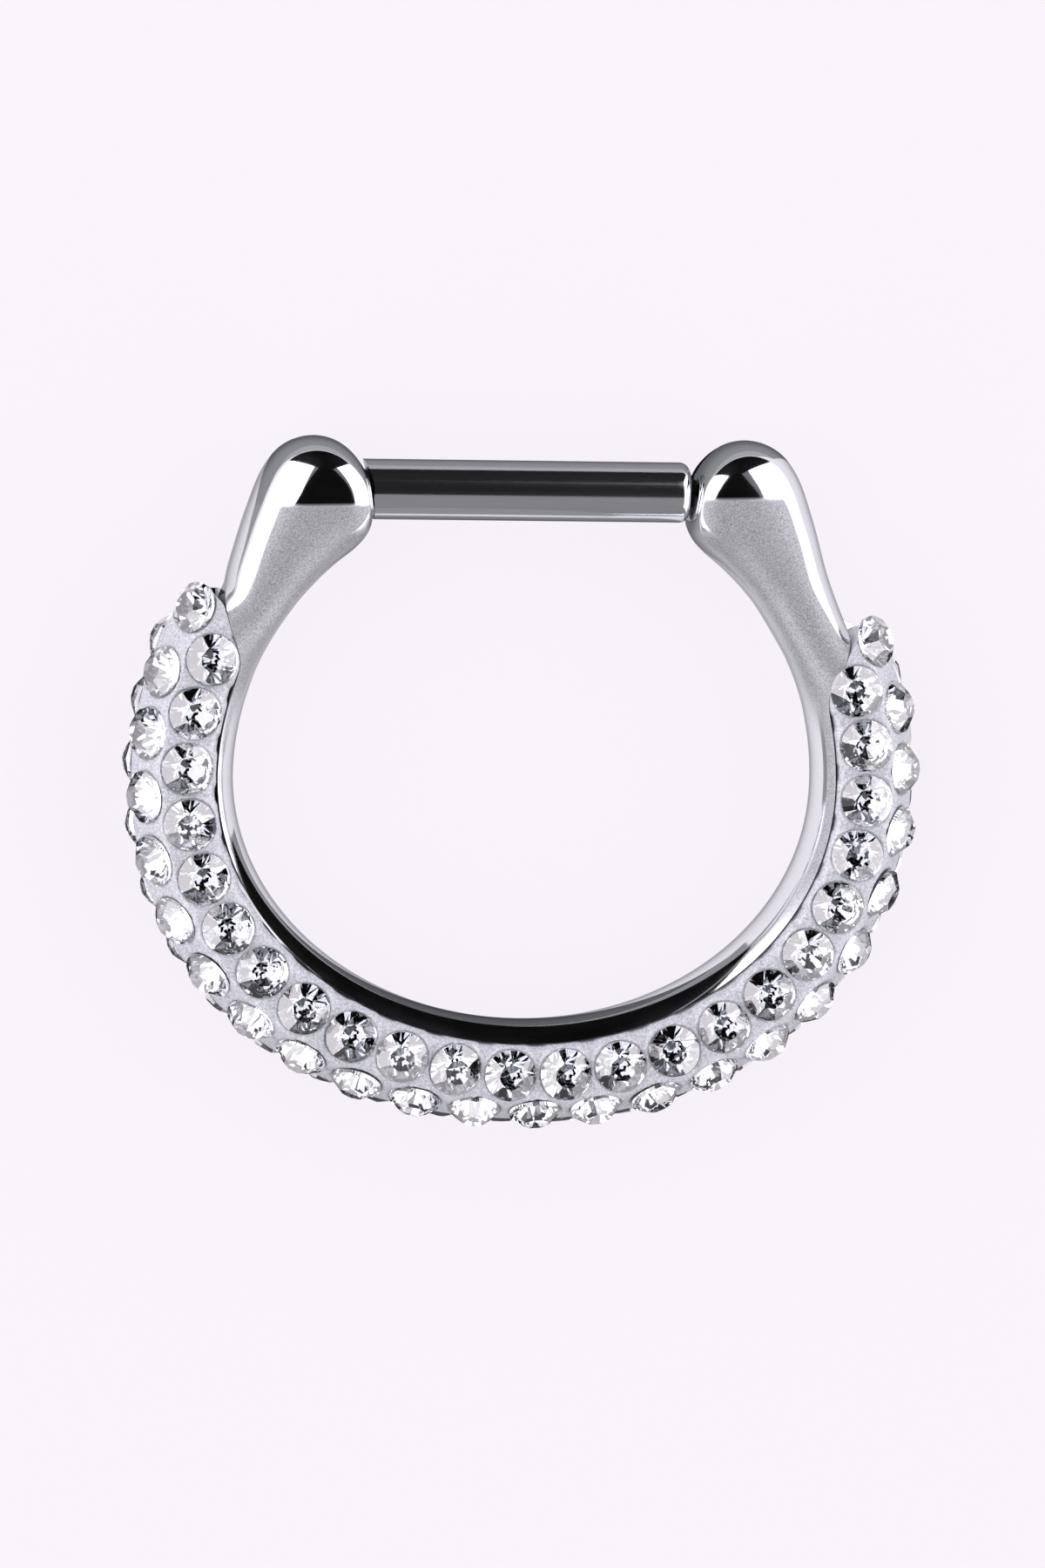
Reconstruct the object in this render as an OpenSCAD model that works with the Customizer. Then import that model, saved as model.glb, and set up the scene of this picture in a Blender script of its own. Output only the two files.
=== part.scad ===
// Clicker ring: a steel horseshoe with a crystal band, closed by a hinged bar.
// The ring lies on its back. X runs along the bar, Y from the band to the bar, Z up through the hole.

/* [Ring] */
// Half the inside width of the ring, at its widest
inner_half_w = 5.84; // [5.7:0.02:6]
// Inside depth from the widest line down to the band
inner_low = 4.88; // [4.8:0.01:5.2]
// Inside height of the upper curve that runs into the knobs
inner_high = 5.7; // [5.6:0.05:5.8]
// Radius of the jewelled band's round section
band_r = 1; // [0.95:0.01:1.05]
// Swelling of the band's section at its two lower corners
corner_swell = 0.08; // [0:0.01:0.1]
// Turn of the band against the bar, clockwise from the front
band_turn = 3; // [0:0.5:4]
// Thickness of the steel track that shows inside the band
track_t = 0.39; // [0.3:0.01:0.45]
// Angle above the widest line at which the putty ends
bed_end = 27.5; // [27:0.5:28]

/* [Knobs and legs] */
// Distance of each knob's centre from the middle of the ring
knob_x = 4.35; // [4.3:0.01:4.4]
// Radius of each knob, about the hinge pin
knob_r = 1.08; // [1.04:0.01:1.12]
// Half the depth of each knob, from front to back
knob_half_depth = 1.07; // [1:0.01:1.15]
// Width of each leg where it enters the band
leg_w = 1.35; // [1.25:0.01:1.45]
// Half the depth of each leg where it enters the band
leg_half_depth = 0.87; // [0.84:0.01:0.9]

/* [Bar and hinge] */
// Diameter of the bar, 16 gauge
bar_d = 1.2; // [1.1:0.01:1.22]
// Height of the bar's axis above the widest line
bar_y = 5.75; // [5.72:0.01:5.8]
// Rounding of the bar's free end
bar_rim = 0.2; // [0.15:0.01:0.25]
// Gap between the bar's free end and the catch knob
end_gap = 0.1; // [0.08:0.01:0.15]
// Thickness of the tongues at both ends of the bar
tongue_t = 0.3; // [0.26:0.01:0.32]
// Distance of the tongues behind the middle plane
tongue_back = 0.3; // [0.26:0.01:0.32]
// Clearance round the tongues
play = 0.03; // [0.03:0.005:0.04]
// Gap between the hinge knob and the bar's hollowed end
knuckle_gap = 0.075; // [0.07:0.005:0.09]
// Diameter of the hinge pin
pin_d = 0.4; // [0.36:0.02:0.44]

/* [Stones] */
// Girdle of a stone, across its flats
stone_d = 0.96; // [0.9:0.01:0.96]
// Table as a share of the girdle
table_share = 0.55; // [0.5:0.01:0.6]
// Height of a stone's crown
crown_h = 0.24; // [0.2:0.01:0.26]
// Height of a stone's girdle
girdle_h = 0.07; // [0.05:0.01:0.09]
// Stones in the front row
front_count = 23; // [20:1:23]
// Angle above the widest line of the front row's first stone, at the hinge
first_stone = 18; // [17:0.5:18.5]
// Angle above the widest line of its last stone, at the catch
last_stone = 19.5; // [18.5:0.5:20]

/* [Hidden] */
$fn = 48;
fit = 0.01;
bar_r = bar_d / 2;
pin_r = pin_d / 2;

seat_gap = 0.015;
tongue_r = sqrt(bar_r * bar_r - pow(tongue_back + tongue_t / 2, 2)) - play;

// Knob sections, fanned round its inner corner: the ends of each section's long axis from the
// knob's centre, x outward and y up, and the half depth as a share of the knob's.
// inner x, inner y, outer x, outer y, depth
KNOB = [
    [-1.14, -0.60, -1.00,  0.38, 0.74],
    [-1.14, -0.75, -0.92,  0.55, 0.88],
    [-1.02, -0.98, -0.69,  0.82, 0.95],
    [-0.88, -1.13, -0.38,  1.01, 0.99],
    [-0.78, -1.23,  0.03,  1.08, 1.00],
    [-0.68, -1.31,  0.44,  0.98, 1.00],
    [-0.58, -1.39,  0.75,  0.77, 0.99],
    [-0.48, -1.47,  0.98,  0.45, 0.97],
    [-0.37, -1.57,  1.14,  0.12, 0.95],
    [-0.24, -1.69,  1.26, -0.24, 0.92],
    [-0.08, -1.85,  1.40, -0.64, 0.89],
    [ 0.10, -2.05,  1.55, -1.18, 0.85],
    [ 0.30, -2.28,  1.70, -1.70, 0.81]
];

// Where the steel leaves the leg's full section for the thin track, and the putty takes over.
// angle above the widest line, share of the way from leg to track
STEEL_END = [[29.5, 0], [28, 0.05], [26, 0.22], [24, 0.46], [22, 0.71], [20, 0.92], [18, 1]];

// The putty's rounded end. angle below bed_end, share of the band's radius
BED_END = [[0, 0.45], [0.4, 0.66], [1.2, 0.79], [3, 0.87], [7, 0.9], [9.5, 1]];

// Rows of stones round the tube. angle from the front, stones fewer than the front row
ROWS = [[0, 0], [60, 1], [120, 0], [180, 1]];

// Single stones on the putty's ends. angle from the front, angle beyond the end of the front row
END_STONES = [[52, 6.2], [172, 6.3]];

function unit(v) = v / norm(v);
function reversed(list) = [for (k = [len(list) - 1:-1:0]) list[k]];
function mix(a, b, f) = a + (b - a) * f;
function low_or_high(t) = sin(t) < 0 ? inner_low : inner_high;

function turned(v) = [
    v.x * cos(band_turn) + v.y * sin(band_turn),
    v.y * cos(band_turn) - v.x * sin(band_turn)
];

// The ring's inner edge and its outward normal, at angle t from the widest line's catch end
function edge(t) = turned([inner_half_w * cos(t), low_or_high(t) * sin(t)]);
function outward(t) = turned(unit([cos(t) / inner_half_w, sin(t) / low_or_high(t)]));

// The band's radius and centre line. Six flats round the tube give each row of stones its seat.
function tube_r(t) = band_r + (sin(t) < 0 ? corner_swell * pow(sin(2 * t), 2) : 0);
function along(t) = edge(t) + tube_r(t) * outward(t);
function seat_h(t) = tube_r(t) * cos(30) + seat_gap;
function stone_top(t) = seat_h(t) + girdle_h + crown_h;

// The outline is centred on X and Y, by the table edges of the outer rows
function reach(t) = stone_top(t) * sin(60) + stone_d * table_share / 2 * cos(60);
OUTLINE = [for (t = [-180 - first_stone:1:last_stone]) along(t) + reach(t) * outward(t)];
outline_x = [for (p = OUTLINE) p.x];
centre_x = (max(outline_x) + min(outline_x)) / 2;
centre_y = (bar_y + knob_r + min([for (p = OUTLINE) p.y])) / 2;

// A cosine or sine bent so that a round outline turns squarish, the more so above power 2
function bent(v, power) = sign(v) * pow(abs(v), 2 / power);

// A steel section: round or squarish, cut flat at the distance cut from the inner edge, with
// the outline's points beyond the cut spread along it
steel_points = 20;
function steel_section(half_w, half_d, power, cut) =
    let (cut_q = cut >= 2 * half_w ? 0 : acos(bent(cut / half_w - 1, 4 / power)))
    let (cut_z = half_d * bent(sin(cut_q), power))
    [for (k = [0:steel_points - 1])
        let (a = 360 * k / steel_points, side = a > 180 ? 1 : -1, q = a > 180 ? 360 - a : a)
        q >= cut_q ? [half_w * (1 + bent(cos(q), power)), side * half_d * bent(sin(q), power)]
                   : [cut, side * cut_z * q / cut_q]];

// A section set up in the ring: from start, along the direction dir, and up Z
function set_up(section, start, dir) = [for (p = section) [start.x + dir.x * p.x, start.y + dir.y * p.x, p.y]];

// Track angles from one bed end round the bottom to the other
track_step = 6;
track_start = STEEL_END[len(STEEL_END) - 1][0];
track_count = round((180 + 2 * track_start) / track_step);
TRACK = [for (k = [1:track_count - 1]) 180 - track_start + k * (180 + 2 * track_start) / track_count];

function steel_at(t, share) =
    let (half_w = mix(leg_w / 2, tube_r(t), share), half_d = mix(leg_half_depth, tube_r(t), share))
    let (cut = share == 0 ? 2 * half_w : mix(leg_w, track_t, share))
    set_up(steel_section(half_w, half_d, mix(2.4, 2, share), cut), edge(t), outward(t));

function knob_section(row) =
    let (start = [knob_x + row[0], bar_y + row[1]], end = [knob_x + row[2], bar_y + row[3]])
    let (half_w = norm(end - start) / 2)
    set_up(steel_section(half_w, knob_half_depth * row[4], 2.4, 2 * half_w), start, unit(end - start));

function flipped(ring) = [for (p = ring) [-p.x, p.y, p.z]];

hoop_rings = concat(
    [for (row = KNOB) flipped(knob_section(row))],
    [for (row = STEEL_END) steel_at(180 - row[0], row[1])],
    [for (t = TRACK) steel_at(t, 1)],
    reversed([for (row = STEEL_END) steel_at(row[0], row[1])]),
    reversed([for (row = KNOB) knob_section(row)])
);

// The putty's section: flats round the tube, cut off at the steel. Its corners lie between the
// rows of stones, and where the cut passes them they are spread on just beyond it.
bed_bevel = 0.02;
function flat_outline(a) = cos(30) / cos(a - 60 * round(a / 60));
function bed_section(tube, share, cut) =
    let (first = asin((cut - tube) / (share * tube)), apart = 4)
    let (front = [first, max(-30, first + apart), max(30, first + 2 * apart)])
    let (angles = concat(front, [90], [for (a = reversed(front)) 180 - a]))
    [for (k = [0:len(angles) - 1])
        let (a = angles[k], r = share * tube * flat_outline(a), from_cut = min(k, len(angles) - 1 - k))
        [max(cut + from_cut * bed_bevel, tube + r * sin(a)), r * cos(a)]];

function steel_cut(t) = lookup(t, reversed([for (row = STEEL_END) [row[0], mix(leg_w, track_t, row[1])]]));
function bed_at(t, above, share) =
    let (cut = steel_cut(above) + play)
    set_up(bed_section(tube_r(t), share, cut), edge(t), outward(t));

bed_start = bed_end - BED_END[len(BED_END) - 1][0];
bed_count = round((180 + 2 * bed_start) / track_step);
bed_rings = concat(
    [for (row = BED_END) bed_at(180 - bed_end + row[0], bed_end - row[0], row[1])],
    [for (k = [1:bed_count - 1]) bed_at(180 - bed_start + k * (180 + 2 * bed_start) / bed_count, 0, 1)],
    reversed([for (row = BED_END) bed_at(bed_end - row[0], bed_end - row[0], row[1])])
);

function middle(ring) = [for (p = ring) 1] * ring / len(ring);

// A closed skin over a list of rings that all have the same number of points, each running from
// the front outward to the back. Each end is shut by triangles round its middle.
module skin(rings) {
    n = len(rings[0]);
    last = (len(rings) - 1) * n;
    start_middle = last + n;
    sides = [for (i = [0:n:last - n], k = [0:n - 1])
        let (j = (k + 1) % n)
        each [[i + k, i + n + k, i + n + j], [i + k, i + n + j, i + j]]];
    caps = [for (k = [0:n - 1])
        let (j = (k + 1) % n)
        each [[start_middle, k, j], [start_middle + 1, last + j, last + k]]];
    ends = [middle(rings[0]), middle(rings[len(rings) - 1])];
    polyhedron(points = concat([for (ring = rings) each ring], ends), faces = concat(sides, caps));
}

// Everything is built about the ring's middle plane and set down on its back row of stones
module set_down() {
    translate([-centre_x, -centre_y, lift]) children();
}

module at_knob(side) {
    translate([side * knob_x, bar_y, 0]) children();
}

// The slot that the hinge tongue turns in, open towards the bar and up
module hinge_slot() {
    slot_r = tongue_r + play;
    translate([0, 0, -tongue_back]) linear_extrude(tongue_t + 2 * play, center = true) {
        circle(slot_r);
        translate([0, -slot_r]) square([2 * knob_r, 4 * knob_r]);
        translate([-slot_r, 0]) square([2 * knob_r, 4 * knob_r]);
    }
}

// The slot that the catch tongue drops into, open towards the bar and up
tongue_reach = 0.5;
tongue_half_h = 0.25;
module catch_slot() {
    depth = face_x - tongue_reach - 2 * play;
    translate([-2 * knob_r, -tongue_half_h - 2 * play, -tongue_back - tongue_t / 2 - play])
        cube([2 * knob_r - depth, 3 * knob_r, tongue_t + 2 * play]);
}

// Distance of a knob's face from its centre, on the bar's axis, and the face's slope
face_low = [-KNOB[0][0], KNOB[0][1]];
face_high = [-KNOB[0][2], KNOB[0][3]];
face_x = mix(face_low.x, face_high.x, -face_low.y / (face_high.y - face_low.y));
face_angle = atan2(face_low.x - face_high.x, face_high.y - face_low.y);

pin_skin = 0.25;
module pin_space(r, front) {
    translate([0, 0, -2 * band_r]) cylinder(r = r, h = 2 * band_r + front);
}

module hoop() {
    color("silver") set_down() difference() {
        skin(hoop_rings);
        at_knob(-1) hinge_slot();
        at_knob(-1) pin_space(pin_r + fit, knob_half_depth - pin_skin);
        at_knob(1) catch_slot();
    }
}

module crystal_bed() {
    color("gainsboro") set_down() skin(bed_rings);
}

// A round cut stone, its seat at Z = 0: girdle, eight crown facets and a table
module chaton() {
    corner_r = stone_d / 2 / cos(22.5);
    rotate(22.5) {
        cylinder(r = corner_r, h = girdle_h, $fn = 8);
        translate([0, 0, girdle_h]) cylinder(r1 = corner_r, r2 = corner_r * table_share, h = crown_h, $fn = 8);
    }
}

// Length along the band's centre line up to each angle, looked up to space the stones evenly
table_step = 1.5;
sweep = 180 + first_stone + last_stone;
sweep_count = round(sweep / table_step);
function sweep_angle(i) = i * sweep / sweep_count - 180 - first_stone;
function sweep_length(i) = i == 0 ? [0] :
    let (before = sweep_length(i - 1))
    concat(before, [before[i - 1] + norm(along(sweep_angle(i)) - along(sweep_angle(i - 1)))]);
lengths = sweep_length(sweep_count);
LENGTH_TO_ANGLE = [for (i = [0:sweep_count]) [lengths[i], sweep_angle(i)]];
function stone_angle(place) = lookup(place / (front_count - 1) * lengths[sweep_count], LENGTH_TO_ANGLE);

// All the stones: angle along the band, angle round the tube
STONES = concat(
    [for (row = ROWS, k = [0:front_count - 1 - row[1]]) [stone_angle(k + row[1] / 2), row[0]]],
    [for (e = END_STONES, t = [-180 - first_stone - e[1], last_stone + e[1]]) [t, e[0]]]
);
lift = max([for (s = STONES) if (s[1] == 180) stone_top(s[0])]);

// One stone at angle t along the band and angle a round the tube
module seated(t, a) {
    p = along(t);
    n = outward(t);
    translate([p.x, p.y, 0]) rotate([0, 0, atan2(n.y, n.x)]) rotate([0, a, 0])
        translate([0, 0, seat_h(t)]) chaton();
}

module stones() {
    color("white") set_down()
        for (s = STONES)
            seated(s[0], s[1]);
}

// The bar's outline on its axis, from the knuckle to the rounded free end
rod_start = -knob_x + knob_r / 2;
rod_end = knob_x - face_x - end_gap;
module rod() {
    long = rod_end - rod_start;
    translate([rod_start, bar_y, 0]) rotate([0, 90, 0]) rotate_extrude() {
        square([bar_r, long - bar_rim]);
        square([bar_r - bar_rim, long]);
        translate([bar_r - bar_rim, long - bar_rim]) intersection() {
            circle(bar_rim);
            square(bar_rim);
        }
    }
}

// What the hinge knob takes out of the bar: its round top, and its straight face below the axis
module knuckle() {
    at_knob(-1) {
        cylinder(r = knob_r + knuckle_gap, h = 2 * bar_d, center = true);
        rotate(face_angle) translate([-knob_r, -2 * knob_r, -bar_d])
            cube([knob_r + face_x * cos(face_angle) + knuckle_gap, 2 * knob_r, 2 * bar_d]);
    }
}

module hinge_tongue() {
    at_knob(-1) translate([0, 0, -tongue_back]) linear_extrude(tongue_t, center = true) {
        circle(tongue_r);
        translate([0, -tongue_r]) square([knob_r + bar_r, 2 * tongue_r]);
    }
}

module catch_tongue() {
    round_r = 0.2;
    long = end_gap + tongue_reach;
    translate([rod_end - bar_rim, bar_y, -tongue_back]) linear_extrude(tongue_t, center = true) {
        translate([0, -tongue_half_h]) square([long + bar_rim - round_r, 2 * tongue_half_h]);
        translate([0, round_r - tongue_half_h]) square([long + bar_rim, 2 * (tongue_half_h - round_r)]);
        for (side = [-1, 1])
            translate([long + bar_rim - round_r, side * (tongue_half_h - round_r)]) circle(round_r);
    }
}

module bar() {
    color("lightgray") set_down() difference() {
        union() {
            difference() {
                rod();
                knuckle();
            }
            hinge_tongue();
            catch_tongue();
        }
        at_knob(-1) cylinder(r = pin_r + 2 * fit, h = 2 * bar_d, center = true);
    }
}

module hinge_pin() {
    back = 0.04;
    long = 2 * knob_half_depth - pin_skin - back - fit;
    color("gray") set_down() at_knob(-1)
        translate([0, 0, back - knob_half_depth]) cylinder(r = pin_r, h = long);
}

hoop();
crystal_bed();
stones();
bar();
hinge_pin();
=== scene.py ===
"""Clicker ring: a steel horseshoe with a crystal-set band, closed by a hinged bar.

The ring lies on its back on a pale floor. X runs along the bar, Y from the band to the bar and
Z up through the ring's hole. The formulas below are in millimetres and degrees, about the
ring's middle plane and the centre of its inner curve; set_down() moves them into the shared
frame, in metres. In them s holds the ring's sizes and g the stones'.
"""

import math
from types import SimpleNamespace

import bpy
import numpy as np
from bpy.props import FloatProperty, FloatVectorProperty, IntProperty, PointerProperty
from bpy.types import Operator, Panel, PropertyGroup
from mathutils import Matrix, Vector


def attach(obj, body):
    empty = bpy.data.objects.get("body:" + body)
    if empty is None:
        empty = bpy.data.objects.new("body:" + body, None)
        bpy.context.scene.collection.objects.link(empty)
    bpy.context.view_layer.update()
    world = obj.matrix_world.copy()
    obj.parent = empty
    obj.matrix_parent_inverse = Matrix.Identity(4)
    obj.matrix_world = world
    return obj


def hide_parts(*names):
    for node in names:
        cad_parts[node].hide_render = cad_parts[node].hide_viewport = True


bl_info = {
    "name": "Clicker Ring",
    "version": (1, 0, 0),
    "blender": (4, 5, 0),
    "location": "View3D > Sidebar > Clicker Ring",
    "description": "Builds a crystal-set clicker ring piece by piece on its packed frame",
    "category": "Add Mesh",
}

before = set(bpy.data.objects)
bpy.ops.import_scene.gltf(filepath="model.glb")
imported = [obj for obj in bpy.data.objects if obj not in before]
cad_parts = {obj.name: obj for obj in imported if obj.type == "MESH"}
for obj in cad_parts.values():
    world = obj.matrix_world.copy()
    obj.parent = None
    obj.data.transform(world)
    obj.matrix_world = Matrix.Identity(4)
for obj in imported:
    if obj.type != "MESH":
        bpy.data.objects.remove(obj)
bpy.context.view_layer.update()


# Sizes and colours


def length(name, description, millimetres):
    """A length, given in millimetres and kept in metres."""
    return FloatProperty(
        name=name, description=description, default=millimetres / 1000, unit="LENGTH",
        subtype="DISTANCE", precision=6,
    )


def share(name, description, value):
    """A share of another size."""
    return FloatProperty(name=name, description=description, default=value, min=0, subtype="FACTOR")


def degrees(name, description, value):
    """An angle, given in degrees and kept in radians."""
    return FloatProperty(
        name=name, description=description, default=math.radians(value), unit="ROTATION", subtype="ANGLE",
    )


def colour(name, description, value):
    """A colour, given as shares of red, green and blue light."""
    return FloatVectorProperty(
        name=name, description=description, default=value, size=3, min=0, max=1, subtype="COLOR",
    )


class RingSizes(PropertyGroup):
    """Sizes of the ring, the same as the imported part's."""

    inner_half_w: length("Half inside width", "Half the inside width, at the widest line", 5.84)
    inner_low: length("Inside depth", "Widest line down to the band", 4.88)
    inner_high: length("Inside height", "Height of the upper curve that runs into the knobs", 5.7)
    band_r: length("Band radius", "Radius of the jewelled band's section", 1.0)
    corner_swell: length("Corner swell", "Swelling of the band's section at its lower corners", 0.08)
    band_turn: degrees("Band turn", "Turn of the band against the bar, clockwise from the front", 3)
    track_t: length("Track", "Thickness of the steel track inside the band", 0.39)
    bed_end: degrees("Putty end", "Angle above the widest line at which the putty ends", 27.5)
    knob_x: length("Knob distance", "Knob centre from the middle of the ring", 4.35)
    knob_r: length("Knob radius", "Radius of each knob about the hinge pin", 1.08)
    knob_half_depth: length("Knob half depth", "Half the depth of each knob", 1.07)
    leg_w: length("Leg width", "Width of each leg where it enters the band", 1.35)
    leg_half_depth: length("Leg half depth", "Half the depth of each leg", 0.87)
    bar_d: length("Bar diameter", "Diameter of the bar, 16 gauge", 1.2)
    bar_y: length("Bar height", "Bar axis above the widest line", 5.75)
    bar_rim: length("Bar rim", "Rounding of the bar's free end", 0.2)
    end_gap: length("End gap", "Gap between the bar's free end and the catch knob", 0.1)
    tongue_t: length("Tongue", "Thickness of the tongues at both ends of the bar", 0.3)
    tongue_back: length("Tongue place", "Distance of the tongues behind the middle plane", 0.3)
    play: length("Play", "Clearance round the tongues", 0.03)
    knuckle_gap: length("Knuckle gap", "Gap between the hinge knob and the bar's hollowed end", 0.075)
    pin_d: length("Pin", "Diameter of the hinge pin", 0.4)


class StoneSizes(PropertyGroup):
    """Sizes of the stones and of their rows."""

    girdle_r: length("Girdle radius", "Radius of a stone's girdle", 0.515)
    table: share("Table", "Table as a share of the girdle", 0.5)
    crown_h: length("Crown", "Height of a stone's crown", 0.24)
    girdle_h: length("Girdle", "Height of a stone's girdle", 0.07)
    solid_table_r: length("Packed table", "Radius of the packed stones' tables", 0.264)
    pavilion_h: length("Pavilion", "Depth of the silvered back below the girdle", 0.37)
    front_count: IntProperty(name="Front row", description="Stones in the front row", default=23)
    first_stone: degrees("First stone", "Front row's first stone above the widest line, at the hinge", 18)
    last_stone: degrees("Last stone", "Front row's last stone above the widest line, at the catch", 19.5)
    seat_gap: length("Seat gap", "Gap between a stone's seat and the flat under it", 0.015)


class RingColours(PropertyGroup):
    """Colours of the finishes and of the floor."""

    steel: colour("Steel", "Polished stainless steel", (0.84, 0.855, 0.885))
    putty: colour("Putty", "Silver-grey putty", (0.39, 0.403, 0.43))
    pearl: colour("Pearl", "Pearly grains in the putty", (0.67, 0.69, 0.725))
    crystal: colour("Crystal", "Clear crystal", (1.0, 1.0, 1.0))
    foil: colour("Foil", "Silvered back of a stone", (0.86, 0.88, 0.91))
    floor: colour("Floor", "Pale floor", (0.94, 0.9, 0.955))


def in_millimetres(group):
    """A property group's values, with lengths in millimetres and angles in degrees."""
    values = {}
    for key, prop in group.bl_rna.properties.items():
        if prop.unit == "LENGTH":
            values[key] = getattr(group, key) * 1000
        elif prop.unit == "ROTATION":
            values[key] = math.degrees(getattr(group, key))
        elif prop.type in {"INT", "FLOAT"}:
            values[key] = getattr(group, key)
    return SimpleNamespace(**values)


def ring_sizes():
    """The ring's sizes as they now stand in the scene."""
    return in_millimetres(bpy.context.scene.clicker_sizes)


def stone_sizes():
    """The stones' sizes as they now stand in the scene."""
    return in_millimetres(bpy.context.scene.clicker_stones)


# The ring's curves

# Sections of a knob, fanned round its inner corner, from its face towards the bar to the leg:
# x and y of the section's inner end, x and y of its outer end, all from the knob's centre with
# x outward and y up, and its half depth as a share of the knob's
KNOB = np.array([
    [-1.14, -0.60, -1.00, 0.38, 0.74],
    [-1.14, -0.75, -0.92, 0.55, 0.88],
    [-1.02, -0.98, -0.69, 0.82, 0.95],
    [-0.88, -1.13, -0.38, 1.01, 0.99],
    [-0.78, -1.23, 0.03, 1.08, 1.00],
    [-0.68, -1.31, 0.44, 0.98, 1.00],
    [-0.58, -1.39, 0.75, 0.77, 0.99],
    [-0.48, -1.47, 0.98, 0.45, 0.97],
    [-0.37, -1.57, 1.14, 0.12, 0.95],
    [-0.24, -1.69, 1.26, -0.24, 0.92],
    [-0.08, -1.85, 1.40, -0.64, 0.89],
    [0.10, -2.05, 1.55, -1.18, 0.85],
    [0.30, -2.28, 1.70, -1.70, 0.81],
])

# Where a leg enters the band: angle above the widest line, share of the way from leg to track
STEEL_END = np.array([[29.5, 0], [28, 0.05], [26, 0.22], [24, 0.46], [22, 0.71], [20, 0.92], [18, 1]])

# Angle between two sections of the band
BAND_STEP = 6

# Powers of the sections' outlines: 2 is round, and more is squarish
LEG_POWER = 2.4
BAND_POWER = 2.0

# The putty's rounded end: angle below the putty's end, share of the band's radius
BED_END = np.array([[0, 0.45], [0.4, 0.66], [1.2, 0.79], [3, 0.87], [7, 0.9], [9.5, 1]])

# Rows of stones: angle round the tube from the front, stones fewer than in the front row
ROWS = ((0, 0), (60, 1), (120, 0), (180, 1))
ROW_STEP = 60

# End stones on each leg: angle round the tube from the front, angle beyond the front row's end
END_STONES = ((52, 6.2), (172, 6.3))

# Distance of the putty's flats from the tube's centre, as a share of its radius
FLAT = math.cos(math.radians(ROW_STEP / 2))

UP = np.array([0.0, 0.0, 1.0])


def unit(v):
    """The vectors, each made one long."""
    return v / np.linalg.norm(v, axis=-1, keepdims=True)


def curve_point(s, t, out):
    """Points at angle t on the inner curve, moved out by a distance, and the outward directions.

    The curve is half an ellipse below the widest line and part of another above it, turned a
    little clockwise as seen from the front."""
    t = np.radians(t)
    b = np.where(np.sin(t) < 0, s.inner_low, s.inner_high)
    p = np.stack([s.inner_half_w * np.cos(t), b * np.sin(t)], -1)
    n = unit(np.stack([np.cos(t) / s.inner_half_w, np.sin(t) / b], -1))
    cos, sin = math.cos(math.radians(s.band_turn)), math.sin(math.radians(s.band_turn))
    turned = np.array([[cos, -sin], [sin, cos]])
    p, n = p @ turned, n @ turned
    return p + n * np.asarray(out)[..., None], n


def tube_r(s, t):
    """Radius of the band's section at angle t: band_r, and corner_swell * sin(2t)^2 more below
    the widest line."""
    t = np.radians(t)
    return s.band_r + s.corner_swell * np.where(np.sin(t) < 0, np.sin(2 * t) ** 2, 0)


def smooth_rows(rows, per):
    """Rows joined by a smooth curve (a uniform cubic B-spline), per steps to a gap. It starts
    and ends on the first and last row."""
    rows = np.asarray(rows, float)
    more = np.vstack([2 * rows[0] - rows[1], rows, 2 * rows[-1] - rows[-2]])
    u = np.arange(per) / per
    basis = np.stack([(1 - u) ** 3, 4 - 6 * u**2 + 3 * u**3, 1 + 3 * u + 3 * u**2 - 3 * u**3, u**3], 1) / 6
    return np.vstack([basis @ more[i : i + 4] for i in range(len(rows) - 1)] + [rows[-1:]])


def bent(v, power):
    """A cosine or sine bent so that a round outline turns squarish, the more so above power 2."""
    return np.sign(v) * np.abs(v) ** (2 / power)


def hoop_rows(s):
    """Rows that the horseshoe's sections follow, from the right knob round the bottom to the left.

    A row holds the section's inner point and outer point, its half depth, the power of its
    outline and the share of its width that is steel."""
    def knob_row(side, x0, y0, x1, y1, depth):
        inner = [side * (s.knob_x + x0), s.bar_y + y0]
        outer = [side * (s.knob_x + x1), s.bar_y + y1]
        return [*inner, *outer, s.knob_half_depth * depth, LEG_POWER, 1]

    def band_row(t, part):
        tube = float(tube_r(s, t))
        width = s.leg_w + (2 * tube - s.leg_w) * part
        kept = 1 if part == 0 else (s.leg_w + (s.track_t - s.leg_w) * part) / width
        inner, _ = curve_point(s, t, 0)
        outer, _ = curve_point(s, t, width)
        half_depth = s.leg_half_depth + (tube - s.leg_half_depth) * part
        power = LEG_POWER - (LEG_POWER - BAND_POWER) * part
        return [*inner, *outer, half_depth, power, kept]

    first_t = STEEL_END[-1, 0] - BAND_STEP
    rows = [knob_row(1, *row) for row in KNOB]
    rows += [band_row(*row) for row in STEEL_END]
    rows += [band_row(t, 1) for t in np.arange(first_t, -180 - first_t - 1, -BAND_STEP)]
    rows += [band_row(-180 - t, part) for t, part in STEEL_END[::-1]]
    rows += [knob_row(-1, *row) for row in KNOB[::-1]]
    return rows


def section_angles(corner, count):
    """Angles of the samples round sections whose flat reaches to an angle corner on both sides.

    They are spread evenly where there is no flat. The wider the flat, the more they are drawn
    towards an even spread of a fifth of them over it and of the others over the rest."""
    on_flat, full_flat = 0.2, 1.2
    turn = np.linspace(-1, 1, count + 1)[None, :-1]
    size = np.abs(turn)
    at = corner / math.pi
    beyond = at + (size - on_flat) / (1 - on_flat) * (1 - at)
    drawn = np.sign(turn) * np.where(size < on_flat, size / on_flat * at, beyond)
    return math.pi * (turn + (drawn - turn) * np.clip(corner / full_flat, 0, 1))


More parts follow.
